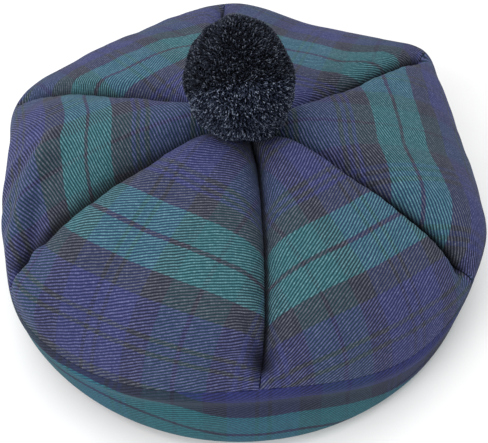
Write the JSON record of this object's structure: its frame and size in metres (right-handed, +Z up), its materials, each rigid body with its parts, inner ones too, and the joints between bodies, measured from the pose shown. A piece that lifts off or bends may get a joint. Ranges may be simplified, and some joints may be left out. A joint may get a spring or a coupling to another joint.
{
  "type": "tam o'shanter",
  "caption": "Soft round tartan tam o'shanter lying flat: puffed gored crown, side ring turned under to a head band, and a cut-yarn toorie on top.",
  "frame": {"origin": "on the table, under the middle of the hat as it lies", "axes": "+Z up through the toorie, the front of the hat to -Y, its right-hand side as seen from the front to +X"},
  "size_m": [0.2927, 0.2994, 0.1431],
  "materials": {
    "tartan_twill": "matte",
    "band_cloth": "matte",
    "toorie_yarn": "matte"
  },
  "bodies": {
    "root": {"crown_gore_back_right": "tartan_twill", "crown_gore_back_left": "tartan_twill", "crown_gore_left": "tartan_twill", "crown_gore_front_left": "tartan_twill", "crown_gore_front_right": "tartan_twill", "crown_gore_right": "tartan_twill", "side_ring": "tartan_twill", "head_band": "band_cloth", "toorie": "toorie_yarn"}
  },
  "joints": []
}
